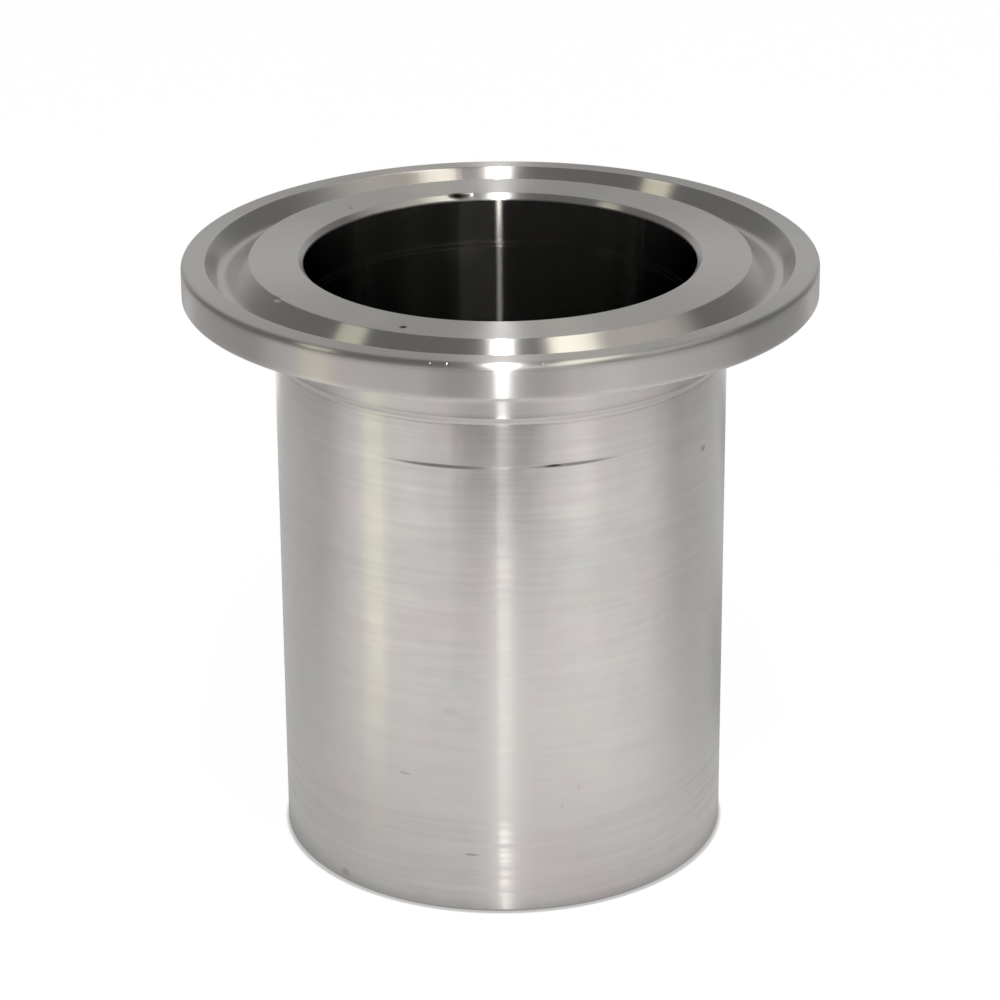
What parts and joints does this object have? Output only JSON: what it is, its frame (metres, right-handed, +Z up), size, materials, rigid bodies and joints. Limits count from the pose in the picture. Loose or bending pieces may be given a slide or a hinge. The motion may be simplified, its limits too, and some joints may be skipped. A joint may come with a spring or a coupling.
{
  "type": "sanitary clamp threaded adapter",
  "caption": "Turned stainless adapter: a clamp flange with a gasket groove and tapered back on a plain round barrel, bored through and tapped with a parallel pipe thread at its foot.",
  "frame": {"origin": "centre of the foot face, the lowest plane of the adapter, on its turning axis", "axes": "+Z up the turning axis, from the threaded foot to the sealing face of the clamp flange; X and Y are equal because the piece is turned"},
  "size_m": [0.0506, 0.0506, 0.0492],
  "materials": {
    "stainless_steel": "fine turned face and rim, satin brushed barrel, darker bore"
  },
  "bodies": {
    "root": {"threaded_adapter": "stainless_steel"}
  },
  "joints": []
}
